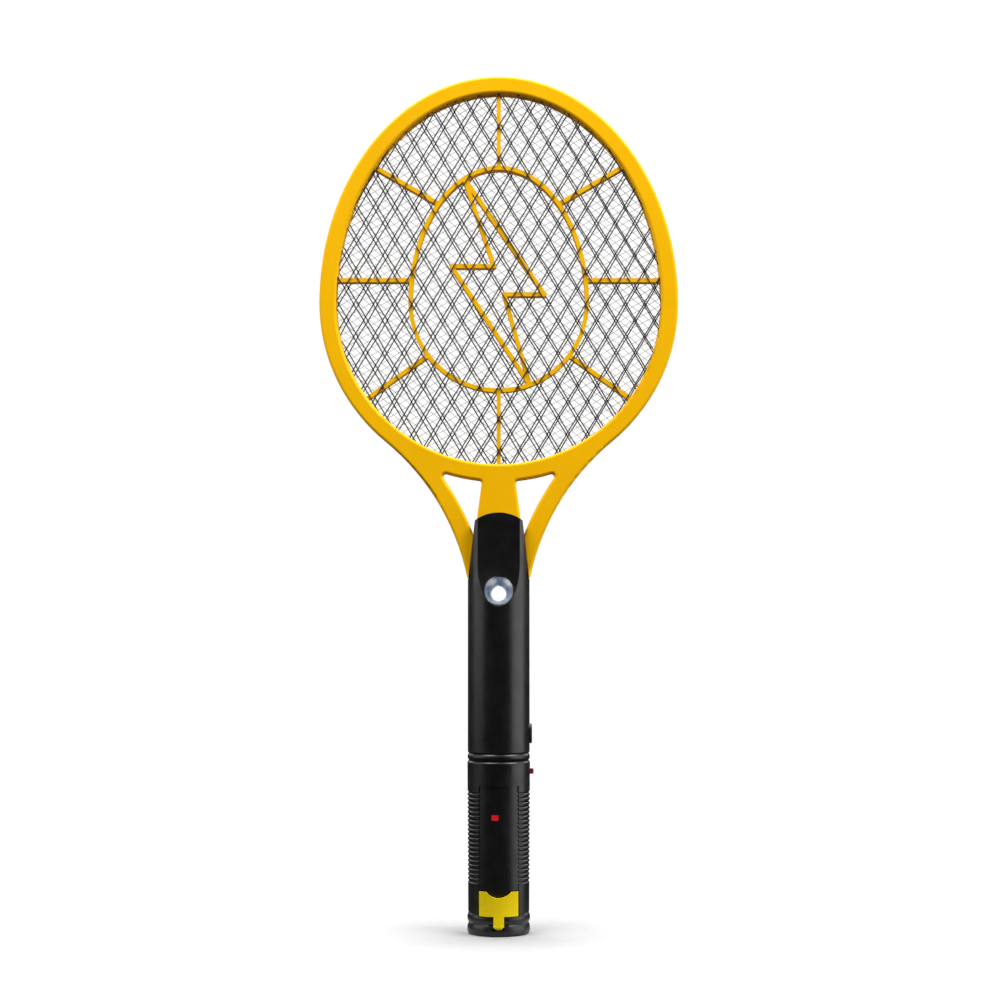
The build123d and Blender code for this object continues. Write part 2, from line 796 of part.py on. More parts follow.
def grip_shell(side, name):
    """One half of the lower grip. side is 1 for the front and -1 for the rear."""
    with BuildPart() as shell:
        add(grip_body)
        for cradle_z in (cradle_low_z, cradle_top_z):
            with BuildSketch(Plane.XY.offset(cradle_z)):
                Circle(grip_foot_radius - wall / 2)
                with Locations((0, battery_y)):
                    Circle(battery_radius + fit_gap, mode=Mode.SUBTRACT)
                with Locations((0, battery_lead_y)):
                    Circle(2 * lead_radius, mode=Mode.SUBTRACT)
            extrude(amount=cradle_thickness)
        add(grip_bosses)
        add(grip_grooves, mode=Mode.SUBTRACT)
        with BuildSketch(Plane.YZ.offset(handle_radius / 2)):
            with Locations((0, knob_z - knob_travel / 2)):
                Rectangle(knob_width + 2 * knob_gap, knob_height + knob_travel + 2 * knob_gap)
        extrude(amount=handle_radius, mode=Mode.SUBTRACT)
        with BuildSketch(layer(0)):
            with Locations(*grip_screws_at):
                Circle(screw_radius + screw_gap)
        reach = grip_screw_bite + pilot_gap
        extrude(amount=side * (reach if side > 0 else handle_radius), mode=Mode.SUBTRACT)
        if side > 0:
            with BuildSketch(Plane.XY.offset(grip_ring_top_z + ring_rise)):
                with Locations((0, -handle_radius)):
                    Rectangle(2 * panel_half_width, 2 * handle_radius)
                Circle(panel_radius, mode=Mode.SUBTRACT)
            extrude(amount=panel_top_z - grip_ring_top_z - ring_rise, mode=Mode.SUBTRACT)
            with BuildSketch(layer(battery_radius)):
                add(cover_hole_outline())
            extrude(amount=handle_radius, mode=Mode.SUBTRACT)
            with BuildSketch(layer(battery_radius)):
                with Locations((indicator_x, indicator_z)):
                    Rectangle(indicator_width + 2 * fit_gap, indicator_height + 2 * fit_gap)
            extrude(amount=handle_radius, mode=Mode.SUBTRACT)
        else:
            with BuildSketch(layer(-grip_screw_seat)):
                with Locations(*grip_screws_at):
                    Circle(screw_head_radius + screw_gap)
            extrude(amount=-handle_radius, mode=Mode.SUBTRACT)
        split(bisect_by=Plane.XZ, keep=Keep.TOP if side > 0 else Keep.BOTTOM)
    save(shell.part, name)


def collar():
    """Turned ring with a rounded outside, on the grip's spigot."""
    foot = collar_radius - ring_rise
    with BuildPart() as ring:
        with BuildSketch(Plane.XZ):
            with BuildLine():
                Polyline(
                    (foot, collar_top_z),
                    (spigot_radius + fit_gap, collar_top_z),
                    (spigot_radius + fit_gap, collar_low_z),
                    (foot, collar_low_z),
                )
                ThreePointArc(
                    (foot, collar_low_z),
                    (collar_radius, (collar_low_z + collar_top_z) / 2),
                    (foot, collar_top_z),
                )
            make_face()
        revolve(axis=Axis.Z)
    save(ring.part, "collar_ring")


def end_cap():
    """The base: a rounded cup with a spigot, and a notch and pin hole for the cover's hinge."""
    ring_foot = ring_radius - ring_rise
    spigot = grip_inner_radius - fit_gap
    with BuildPart() as cap:
        with BuildSketch(Plane.XZ):
            with BuildLine():
                Line((0, 0), (ring_radius - base_edge, 0))
                ThreePointArc(
                    (ring_radius - base_edge, 0),
                    (ring_radius - 0.3 * base_edge, 0.35 * base_edge),
                    (ring_radius, 1.3 * base_edge),
                )
                ThreePointArc(
                    (ring_radius, 1.3 * base_edge),
                    (ring_radius - 0.2 * ring_rise, 0.72 * base_cap_height),
                    (ring_foot, base_cap_height),
                )
                Polyline(
                    (ring_foot, base_cap_height),
                    (spigot, base_cap_height),
                    (spigot, inlet_low_z - neck_gap),
                    (spigot - wall, inlet_low_z - neck_gap),
                    (spigot - wall, wall),
                    (0, wall),
                    (0, 0),
                )
            make_face()
        revolve(axis=Axis.Z)
        with BuildSketch(Plane.XY.offset(wall / 2)):
            with Locations((0, -hinge_reach + hinge_barrel_radius)):
                Rectangle(2.6 * hinge_pin_half, 2 * hinge_barrel_radius + wall)
        extrude(amount=base_cap_height - wall / 2)
        with BuildSketch(Plane.YZ):
            with Locations((-hinge_reach, hinge_z)):
                Circle(hinge_barrel_radius + hinge_gap)
            with Locations((-hinge_reach - handle_radius / 2, hinge_z + base_cap_height / 2)):
                Rectangle(handle_radius, base_cap_height + 2 * (hinge_barrel_radius + hinge_gap))
        extrude(amount=tongue_half_width + hinge_gap, both=True, mode=Mode.SUBTRACT)
        with BuildSketch(Plane.YZ):
            with Locations((-hinge_reach, hinge_z)):
                Circle(hinge_pin_radius)
        extrude(amount=hinge_pin_half, both=True, mode=Mode.SUBTRACT)
    save(cap.part, "base_cap")


def cover():
    """T-shaped cover, curved like the grip, with a barrel at the end of its tongue."""
    with BuildPart() as lid:
        with BuildSketch(Plane.XY.offset(hinge_z)):
            Circle(cover_outer_radius)
            Circle(cover_inner_radius, mode=Mode.SUBTRACT)
        extrude(amount=2 * cover_height)
        with BuildSketch(Plane.YZ):
            with Locations((-hinge_reach, hinge_z)):
                Circle(hinge_barrel_radius)
        extrude(amount=tongue_half_width, both=True)
        with BuildSketch(layer(0)):
            add(cover_outline())
        extrude(amount=2 * handle_radius, mode=Mode.INTERSECT)
        with BuildSketch(Plane.YZ):
            with Locations((-hinge_reach, hinge_z)):
                Circle(hinge_pin_radius + fit_gap)
        extrude(amount=handle_radius, both=True, mode=Mode.SUBTRACT)
    save(lid.part, "inlet_cover")
    with BuildPart() as pin:
        with BuildSketch(Plane.YZ):
            with Locations((-hinge_reach, hinge_z)):
                Circle(hinge_pin_radius)
        extrude(amount=hinge_pin_half, both=True)
    save(pin.part, "cover_hinge_pin")


# ---------- lamp ----------
def lamp():
    """Plano-convex lens, chrome cup and a round LED on the lamp's tilted axis."""
    along = lamp_plane.z_dir
    section = Plane(origin=lamp_plane.origin, x_dir=(1, 0, 0), z_dir=Vector(1, 0, 0).cross(along))
    axis = Axis(lamp_plane.origin, along)
    dome_rise = lens_rise - lens_edge
    dome_radius = (lens_radius**2 + dome_rise**2) / (2 * dome_rise)
    with BuildPart() as lens:
        with BuildSketch(section):
            with BuildLine():
                Polyline((0, lens_rise), (0, -lens_rim), (lens_radius, -lens_rim), (lens_radius, lens_edge))
                RadiusArc((lens_radius, lens_edge), (0, lens_rise), -dome_radius)
            make_face()
        revolve(axis=axis)
    save(lens.part, "lamp_lens")
    throat = led_radius + 2 * lamp_gap
    flange = lens_radius + socket_wall - lamp_gap
    mouth = lens_radius - cup_wall
    with BuildPart() as cup:
        with BuildSketch(section):
            with BuildLine():
                Polyline(
                    (throat, lamp_back + cup_wall),
                    (throat, lamp_back),
                    (flange, lamp_back),
                    (flange, -socket_depth),
                    (lens_radius, -socket_depth),
                    (lens_radius, -lens_rim),
                    (mouth, -lens_rim),
                )
                ThreePointArc(
                    (mouth, -lens_rim),
                    (0.66 * lens_radius, 0.73 * -socket_depth),
                    (throat, lamp_back + cup_wall),
                )
            make_face()
        revolve(axis=axis)
    save(cup.part, "lamp_reflector")
    led_back = lamp_back - led_flange
    with BuildPart() as led:
        with BuildSketch(section):
            with BuildLine():
                Polyline(
                    (0, -led_tip_depth),
                    (0, led_back),
                    (led_radius + cup_wall, led_back),
                    (led_radius + cup_wall, lamp_back),
                    (led_radius, lamp_back),
                    (led_radius, -led_tip_depth - led_radius),
                )
                RadiusArc((led_radius, -led_tip_depth - led_radius), (0, -led_tip_depth), -led_radius)
            make_face()
        revolve(axis=axis)
    save(led.part, "lamp_led")
    start = lamp_plane.origin + along * led_back
    bend = lamp_plane.origin + along * (led_back - 3 * led_flange)
    leads = []
    for x in (-lamp_lead_half_gap, lamp_lead_half_gap):
        path = (
            (x, start.Y, start.Z),
            (x, bend.Y, bend.Z),
            (x, board_face - lamp_lead_radius, board_top_z - 1),
            (x, board_face - lamp_lead_radius, board_top_z - 8),
        )
        leads.append(tube(path, 2.2, lamp_lead_radius))
    save(Compound(children=leads), "lamp_leads")


def tube(path, bend_radius, radius):
    """A round wire along straight runs joined by tangent arcs."""
    with BuildPart() as wire:
        with BuildLine() as line:
            FilletPolyline(*path, radius=bend_radius)
        start = line.line @ 0
        with BuildSketch(Plane(origin=start, z_dir=line.line % 0)):
            Circle(radius)
        sweep(path=line.line)
    return wire.part.solids()[0]


# ---------- controls ----------
def push_button():
    """Push button with an inner flange, its switch body and the switch's plunger."""
    with BuildPart() as button:
        with BuildSketch(Plane.YZ.offset(button_back)):
            with Locations((0, button_z)):
                RectangleRounded(
                    button_width + 2 * button_lip, button_height + 2 * button_lip, button_corner_radius
                )
        extrude(amount=button_travel + button_flange)
        with BuildSketch(Plane.XY.offset(button_z - button_height)):
            Circle(handle_radius - wall - fit_gap)
        extrude(amount=2 * button_height, mode=Mode.INTERSECT)
        with BuildSketch(Plane.YZ.offset(button_back)):
            with Locations((0, button_z)):
                RectangleRounded(button_width, button_height, button_corner_radius)
        extrude(amount=handle_radius + button_proud - button_back)
        fillet(button.faces().sort_by(Axis.X)[-1].edges(), button_edge_radius)
    save(button.part, "zap_button")
    front = button_pressed_back - button_gap
    half = zap_switch_size / 2
    with BuildPart() as body:
        with BuildSketch(Plane.YZ.offset(front - zap_switch_depth)):
            with Locations(((board_face - half) / 2, button_z)):
                Rectangle(board_face + half, zap_switch_size)
        extrude(amount=zap_switch_depth)
        with BuildSketch(Plane.YZ.offset(front)):
            with Locations((0, button_z)):
                Circle(plunger_radius + 2 * fit_gap)
        extrude(amount=-plunger_root - button_travel - button_gap, mode=Mode.SUBTRACT)
    save(body.part, "zap_switch_body")
    with BuildPart() as plunger:
        with BuildSketch(Plane.YZ.offset(front - plunger_root)):
            with Locations((0, button_z)):
                Circle(plunger_radius)
        extrude(amount=button_back - front + plunger_root)
    save(plunger.part, "zap_switch_plunger")


def slide_switch():
    """Small slide switch on the board, and its red knob in the grip's slot."""
    slot = knob_height + knob_travel + 2 * knob_gap
    middle_z = knob_z - knob_travel / 2
    front = board_half_width - fit_gap
    with BuildPart() as body:
        with BuildSketch(Plane.YZ.offset(front - light_switch_depth)):
            with Locations(((board_face - light_switch_end) / 2, middle_z)):
                Rectangle(board_face + light_switch_end, slot + 2 * light_switch_end)
        extrude(amount=light_switch_depth)
        with BuildSketch(Plane.YZ.offset(front)):
            with Locations((0, middle_z)):
                Rectangle(knob_width + 2 * knob_gap, slot)
        extrude(amount=-knob_root - knob_gap, mode=Mode.SUBTRACT)
    save(body.part, "light_switch_body")
    with BuildPart() as knob:
        with BuildSketch(Plane.YZ.offset(front - knob_root)):
            with Locations((0, knob_z)):
                Rectangle(knob_width, knob_height)
        extrude(amount=handle_radius + knob_proud - front + knob_root)
        fillet(knob.faces().sort_by(Axis.X)[-1].edges(), knob_edge_radius)
    save(knob.part, "light_switch_knob")


# ---------- charging inlet and indicator ----------
def inlet():
    """Two-pin inlet behind the cover, its board and the dropper capacitor."""
    with BuildPart() as body:
        with BuildSketch(Plane.XY.offset(inlet_low_z)):
            Circle(inlet_radius)
            with Locations((0, -inlet_radius / 2 - inlet_back)):
                Rectangle(2 * board_half_width, inlet_radius, mode=Mode.INTERSECT)
        extrude(amount=inlet_top_z - inlet_low_z)
        with BuildSketch(layer(inlet_floor)):
            with Locations((0, inlet_z)):
                SlotOverall(2 * inlet_mouth_half, 2 * inlet_mouth_half_height)
        extrude(amount=handle_radius, mode=Mode.SUBTRACT)
        with BuildSketch(layer(0)):
            with Locations((-inlet_pin_spacing / 2, inlet_z), (inlet_pin_spacing / 2, inlet_z)):
                Circle(inlet_pin_radius)
        extrude(amount=handle_radius, mode=Mode.SUBTRACT)
    save(body.part, "inlet_body")
    board_back = inlet_back - board_thickness
    with BuildPart() as pins:
        with BuildSketch(layer(board_back - inlet_pin_tail)):
            with Locations((-inlet_pin_spacing / 2, inlet_z), (inlet_pin_spacing / 2, inlet_z)):
                Circle(inlet_pin_radius)
        extrude(amount=inlet_pin_tip - board_back + inlet_pin_tail)
        fillet(pins.faces().group_by(Axis.Y)[0].edges(), inlet_pin_radius / 2)
    save(pins.part, "inlet_pins")
    with BuildPart() as board:
        with BuildSketch(layer(board_back)):
            with Locations((0, (inlet_low_z + inlet_top_z) / 2)):
                Rectangle(2 * board_half_width - 3, inlet_top_z - inlet_low_z)
            with Locations((-inlet_pin_spacing / 2, inlet_z), (inlet_pin_spacing / 2, inlet_z)):
                Circle(inlet_pin_radius, mode=Mode.SUBTRACT)
        extrude(amount=board_thickness)
    save(board.part, "charge_board")
    with BuildPart() as capacitor:
        with BuildSketch(layer(board_back)):
            with Locations((0, inlet_top_z - 4.2)):
                Rectangle(13.0, 7.6)
        extrude(amount=-7.0)
        fillet(capacitor.edges().filter_by(Axis.Y), 1.0)
    save(capacitor.part, "charge_capacitor")


def indicator():
    """Red light pipe in the front panel and the small LED behind it."""
    flange_back = grip_inner_radius - 2 * indicator_flange_depth - inlet_gap
    with BuildPart() as window:
        with BuildSketch(layer(flange_back)):
            with Locations((indicator_x, indicator_z)):
                Rectangle(indicator_width + 2 * indicator_flange, indicator_height + 2 * indicator_flange)
        extrude(amount=indicator_flange_depth)
        with BuildSketch(layer(flange_back)):
            with Locations((indicator_x, indicator_z)):
                Rectangle(indicator_width, indicator_height)
        extrude(amount=panel_radius + indicator_proud - flange_back)
    save(window.part, "indicator_window")
    with BuildPart() as led:
        with BuildSketch(layer(flange_back - indicator_led_length)):
            with Locations((indicator_x, indicator_z)):
                Circle(1.25 * indicator_led_radius)
        extrude(amount=indicator_flange)
        with BuildSketch(layer(flange_back - indicator_led_length)):
            with Locations((indicator_x, indicator_z)):
                Circle(indicator_led_radius)
        extrude(amount=indicator_led_length)
    save(led.part, "indicator_led")


# ---------- battery, board and wires ----------
def power():
    """Battery cell, its welded tabs and its two leads."""
    with BuildPart() as cell:
        with BuildSketch(Plane.XY.offset(battery_low_z)):
            with Locations((0, battery_y)):
                Circle(battery_radius)
        extrude(amount=battery_length)
        fillet(cell.edges(), 0.6)
        with BuildSketch(Plane.XY.offset(battery_top_z)):
            with Locations((0, battery_y)):
                Circle(battery_nub_radius)
        extrude(amount=battery_nub)
    save(cell.part, "battery_cell")
    tab_z = battery_top_z + battery_nub
    tab_front = battery_y - tab_half_width
    low_tab = block(
        (-tab_half_width, tab_half_width),
        (tab_front, battery_lead_y + 2 * lead_radius),
        (battery_low_z - tab_thickness, battery_low_z),
    )
    top_tab = block(
        (-2 * tab_half_width, 2 * tab_half_width),
        (tab_front, battery_y + tab_half_width),
        (tab_z, tab_z + tab_thickness),
    )
    save(Compound(children=[tab.solids()[0] for tab in (low_tab, top_tab)]), "battery_tabs")
    red_start = (-lead_x, battery_y - tab_half_width / 2, tab_z + tab_thickness)
    red = tube(
        (
            red_start,
            (-lead_x, red_start[1], red_start[2] + 4),
            (-lead_x, board_face - lead_radius, red_start[2] + 7.5),
            (-lead_x, board_face - lead_radius, red_start[2] + 12),
        ),
        1.3, lead_radius,
    )
    save(red, "battery_lead_red")
    black = tube(
        (
            (0, battery_lead_y, battery_low_z),
            (0, battery_lead_y, battery_top_z),
            (0, board_rear + lead_radius, battery_top_z + 9),
            (0, board_rear + lead_radius, battery_top_z + 15),
        ),
        2.5, lead_radius,
    )
    save(black, "battery_lead_black")


def net_leads():
    """The two leads from the board through the tang and stem to the foot of the nets."""
    for x, name in ((-lead_x, "net_lead_live"), (lead_x, "net_lead_ground")):
        path = (
            (x, board_face - lead_radius, board_top_z - 11),
            (x, board_face - lead_radius, board_top_z - 4),
            (x, 0, board_top_z + 6),
            (x, 0, opening_low_z - net_tuck - fit_gap),
        )
        save(tube(path, 2.5, lead_radius), name)


def main_board():
    """The board and the parts soldered to its front face."""
    with BuildPart() as board:
        with BuildSketch(layer(-board_face)):
            with Locations((0, (board_low_z + board_top_z) / 2)):
                Rectangle(2 * board_half_width, board_top_z - board_low_z)
            with Locations(*handle_screws_at):
                Circle(boss_tip_radius + fit_gap, mode=Mode.SUBTRACT)
            with Locations(grip_screws_at[-1]):
                Circle(grip_boss_radius + 2 * fit_gap, mode=Mode.SUBTRACT)
            with Locations((button_pressed_back - button_gap, button_z)):
                notch_height = button_height + 2 * (button_lip + button_gap)
                Rectangle(board_half_width, notch_height, align=(Align.MIN, Align.CENTER), mode=Mode.SUBTRACT)
        extrude(amount=-board_thickness)
    save(board.part, "circuit_board")
    window = transformer_leg * 0.625
    window_x = (transformer_leg + window) / 2
    with BuildPart() as core:
        with BuildSketch(layer(-transformer_y)):
            with Locations((0, transformer_z)):
                Rectangle(transformer_size, transformer_size)
            with Locations((-window_x, transformer_z), (window_x, transformer_z)):
                Rectangle(window, transformer_window_height, mode=Mode.SUBTRACT)
        extrude(amount=transformer_leg / 2, both=True)
    save(core.part, "transformer_core")
    coil_height = transformer_window_height - 4 * fit_gap
    coil_width = transformer_leg + 2 * window - 4 * fit_gap
    with BuildPart() as winding:
        with BuildSketch(Plane.XY.offset(transformer_z - coil_height / 2)):
            with Locations((0, transformer_y)):
                RectangleRounded(coil_width, 2 * (board_face - transformer_y), coil_width / 5)
                Rectangle(transformer_leg + 2 * fit_gap, transformer_leg + 2 * fit_gap, mode=Mode.SUBTRACT)
        extrude(amount=coil_height)
    save(winding.part, "transformer_winding")
    with BuildPart() as capacitor:
        with BuildSketch(layer(-board_face)):
            with Locations((0, hv_capacitor_z)):
                Rectangle(hv_capacitor_size[0], hv_capacitor_size[1])
        extrude(amount=hv_capacitor_size[2])
        fillet(capacitor.edges().filter_by(Axis.Y), hv_capacitor_size[0] / 10)
    save(capacitor.part, "hv_capacitor")
    with BuildPart() as transistor:
        with BuildSketch(layer(-board_face)):
            with Locations(transistor_at):
                Rectangle(transistor_size[0], transistor_size[1])
                with Locations((0, transistor_size[1] / 4)):
                    Circle(transistor_hole_radius, mode=Mode.SUBTRACT)
        extrude(amount=transistor_size[2])
    save(transistor.part, "power_transistor")
    axial_parts(diode_xs, diode_z, diode_radius, diode_length, "rectifier_diodes")
    axial_parts(resistor_xs, transistor_at[1], resistor_radius, resistor_length, "bleed_resistors")


def axial_parts(places, z, radius, length, name):
    """Round parts with wire ends that lie along Z on the board's front face."""
    solids = []
    for x in places:
        with BuildPart() as component:
            with BuildSketch(Plane.XY.offset(z - length / 2)):
                with Locations((x, board_face - radius)):
                    Circle(radius)
            extrude(amount=length)
            with BuildSketch(Plane.XY.offset(z - length / 2 - component_wire_length)):
                with Locations((x, board_face - radius)):
                    Circle(component_wire_radius)
            extrude(amount=length + 2 * component_wire_length)
        solids.append(component.part.solids()[0])
    save(Compound(children=solids), name)


guard_net(1, 0.0, 0.0, "net_front")
guard_net(-1, net_cell_width / 4, net_cell_height / 6, "net_rear")
live_net()
ring_screw_seat = frame_half_depth - screw_head_height
save(screws(ring_screws_at, ring_screw_seat, ring_screw_seat + ring_screw_bite - pilot_gap), "frame_screws")

handle_outer = handle_form(0)
handle_inner = handle_form(wall)
upper_shell(1, "handle_front_shell")
upper_shell(-1, "handle_rear_shell")
with BuildPart() as upper_screws:
    add(screws(handle_screws_at, handle_screw_seat, handle_screw_seat + handle_screw_bite))
    add(screws(tang_screws, tang_screw_seat, tang_screw_seat + tang_screw_bite))
save(upper_screws.part, "handle_screws")
collar()

grip_body = grip_form()
grip_grooves = rib_cutter()
grip_bosses = grip_boss_form()
grip_shell(1, "grip_front_shell")
grip_shell(-1, "grip_rear_shell")
save(screws(grip_screws_at, grip_screw_seat, grip_screw_seat + grip_screw_bite), "grip_screws")
end_cap()
cover()

lamp()
push_button()
slide_switch()
inlet()
indicator()
power()
net_leads()
main_board()
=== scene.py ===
import json
import math
import random

import bpy
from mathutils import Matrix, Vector

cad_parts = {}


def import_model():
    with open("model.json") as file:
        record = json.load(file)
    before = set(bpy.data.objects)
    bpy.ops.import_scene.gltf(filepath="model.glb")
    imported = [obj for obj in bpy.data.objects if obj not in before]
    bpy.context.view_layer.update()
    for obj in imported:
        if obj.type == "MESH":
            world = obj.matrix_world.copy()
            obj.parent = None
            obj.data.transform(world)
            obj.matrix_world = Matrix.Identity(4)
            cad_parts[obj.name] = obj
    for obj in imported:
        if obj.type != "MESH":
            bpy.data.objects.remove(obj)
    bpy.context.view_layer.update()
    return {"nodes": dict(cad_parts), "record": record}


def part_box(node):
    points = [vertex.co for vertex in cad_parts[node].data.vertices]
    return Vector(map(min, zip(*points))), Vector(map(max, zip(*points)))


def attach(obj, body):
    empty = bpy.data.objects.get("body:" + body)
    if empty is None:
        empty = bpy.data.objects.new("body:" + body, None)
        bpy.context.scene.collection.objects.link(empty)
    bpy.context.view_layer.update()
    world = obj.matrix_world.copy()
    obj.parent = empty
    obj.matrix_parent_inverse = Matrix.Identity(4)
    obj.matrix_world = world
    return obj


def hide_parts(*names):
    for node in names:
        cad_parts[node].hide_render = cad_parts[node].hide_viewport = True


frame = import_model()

nodes = frame["nodes"]
scene = bpy.context.scene
MM = 0.001

# ---------- camera and stage ----------
camera_distance = 1.3
camera_height = 0.196
camera_aim_height = 0.25125
camera_side = 0.00075       # the camera stands this far to the right of the object's middle
view_height = 0.58495       # metres of the object's plane that fill the frame
floor_rings = (0.3, 1.0, 3.0, 12.0)
floor_segments = 96
# painted shadow: the floor is grey near the object and fades to clear, which leaves a grey disc round the
# base
painted_shadow_grey = (0.35, 0.35, 0.35, 1)
floor_fade_start = 0.024    # from here the floor's grey, a painted shadow round the base, turns clear, so that the white backdrop shows
floor_fade_end = 0.075
backdrop_strength = 1.02
fill_strength = 0.06

# ---------- lights ----------
# name, azimuth (0 in front of the object, 90 to its right), elevation, distance, size, watts, height aimed at
soft_lights = (
    ("key_left", -48, 55, 1.9, (1.1, 1.0), 38.5, 0.25),
    ("key_right", 65, 50, 1.9, (1.1, 1.0), 47, 0.25),
    ("side_left", -82, 0, 1.3, (1.1, 0.72), 4.8, 0.49),
    ("side_right", 78, 0, 1.3, (1.3, 0.85), 7.8, 0.25),
    ("back_left", -140, 25, 1.5, (0.6, 1.0), 5, 0.25),
    ("back_right", 135, 25, 1.5, (0.6, 1.0), 6, 0.25),
    ("back_above", 180, 78, 1.9, (0.9, 0.7), 45, 0.25),
)
glow_power = 0.003
glow_size = 3 * MM
glow_ahead = 4 * MM         # in front of the lens
glow_above = 2 * MM         # above its middle
led_strength = 4.2
indicator_strength = 0.08

# ---------- plastic surfaces ----------
tone_size = 28 * MM
mark_size = 9 * MM
# reach of the painted shade that darkens creases
crease_reach = 1.6 * MM
flow_size = 14 * MM
flow_depth = 0.10 * MM

# ---------- nets ----------
net_cell = (11.3 * MM, 19.1 * MM)
strand_width = 0.80 * MM
strand_depth = 0.42 * MM
knuckle_half = 0.45 * MM    # half of the height over which two strands run together
knuckle_spread = 0.20 * MM
strand_tilt = 24.0          # degrees that a strand's flat side is turned
strand_bow = (0.05 * MM, 0.04 * MM)
front_jitter = 0.14 * MM
rear_jitter = 0.30 * MM
rear_shift = (0.18 * net_cell[0], 0.06 * net_cell[1])
shortest_strand = 0.4 * MM
edge_halvings = 14          # how often a cut at the opening's edge is narrowed down
wire_radius = 0.15 * MM
wire_pitch = 3.75 * MM
wire_angles = (30.0, -40.0)
wire_step = 1.3 * MM
wire_wander = 0.45 * MM     # how far the live net's wires stray from straight
wander_wave = (28, 75)      # shortest and longest wave of that, in millimetres

# ---------- wire ends, from the lowest point of the opening ----------
end_width = 0.44 * MM
end_behind = 1.3 * MM       # behind the front guard net
end_lift = 1.2 * MM
curl_root = Vector((2.4, 0, 0)) * MM
curl_middle = Vector((3.2, 0, 3.6)) * MM
curl_radius = 1.2 * MM
curl_depth = 0.5 * MM
curl_start, curl_sweep = 250, 470
curl_points = 40
twist_root = Vector((-2.7, 0, 0)) * MM
twist_foot = Vector((-3.2, 0, 1.2)) * MM
twist_tail = Vector((-0.9, 0, 1.1)) * MM
twist_radius = 0.42 * MM
twist_height = 3.8 * MM
twist_turns = 3
twist_points = 54


# ================= materials =================
def linear(red, green, blue):
    """A colour given as 0 to 255 on a screen, as the shader's linear numbers."""
    def one(c):
        c /= 255
        return c / 12.92 if c <= 0.04045 else ((c + 0.055) / 1.055) ** 2.4
    return one(red), one(green), one(blue), 1.0


class Shader:
    """A material's node tree, with one short call for each kind of node that is used here."""

    def __init__(self, name):
        self.material = bpy.data.materials.new(name)
        self.material.use_nodes = True
        self.tree = self.material.node_tree
        self.tree.nodes.clear()
        self.out = self.add("ShaderNodeOutputMaterial")
        self.bsdf = self.add("ShaderNodeBsdfPrincipled")
        self.link(self.bsdf.outputs[0], self.out.inputs["Surface"])
        self.place = self.add("ShaderNodeTexCoord").outputs["Object"]

    def add(self, kind, **settings):
        made = self.tree.nodes.new(kind)
        for key, value in settings.items():
            setattr(made, key, value)
        return made

    def link(self, source, target):
        self.tree.links.new(source, target)

    def put(self, target, value):
        if isinstance(value, bpy.types.NodeSocket):
            self.link(value, target)
        else:
            target.default_value = value

    def noise(self, size, detail=3.0, stretch=(1, 1, 1), roughness=0.55):
        """Noise whose largest lumps are about size metres across."""
        mapping = self.add("ShaderNodeMapping")
        mapping.inputs["Scale"].default_value = [s / size for s in stretch]
        self.link(self.place, mapping.inputs["Vector"])
        made = self.add("ShaderNodeTexNoise")
        made.inputs["Scale"].default_value = 1.0
        made.inputs["Detail"].default_value = detail
        made.inputs["Roughness"].default_value = roughness
        self.link(mapping.outputs[0], made.inputs["Vector"])
        return made.outputs["Fac"]

    def spread(self, value, low, high, to_low=0.0, to_high=1.0):
        made = self.add("ShaderNodeMapRange")
        for key, number in (("From Min", low), ("From Max", high), ("To Min", to_low), ("To Max", to_high)):
            made.inputs[key].default_value = number
        self.link(value, made.inputs["Value"])
        return made.outputs[0]

    def mix(self, share, first, second):
        made = self.add("ShaderNodeMix", data_type="RGBA")
        self.put(made.inputs["Factor"], share)
        self.put(made.inputs["A"], first)
        self.put(made.inputs["B"], second)
        return made.outputs["Result"]

    def sum(self, first, second, kind="ADD"):
        made = self.add("ShaderNodeMath", operation=kind)
        self.put(made.inputs[0], first)
        self.put(made.inputs[1], second)
        return made.outputs[0]

    def corners(self, distance, inside):
        """Near 1 at edges that stand out if inside, or in creases if not."""
        made = self.add("ShaderNodeAmbientOcclusion", inside=inside, samples=6)
        made.inputs["Distance"].default_value = distance
        return self.sum(1.0, made.outputs["AO"], "SUBTRACT")

    def bump(self, height, depth, after=None):
        made = self.add("ShaderNodeBump")
        made.inputs["Distance"].default_value = depth
        made.inputs["Strength"].default_value = 1.0
        self.link(height, made.inputs["Height"])
        if after is not None:
            self.link(after, made.inputs["Normal"])
        return made.outputs[0]


def shade(colour, amount):
    """A colour made darker or lighter."""
    return tuple(min(1.0, c * amount) for c in colour[:3]) + (1.0,)


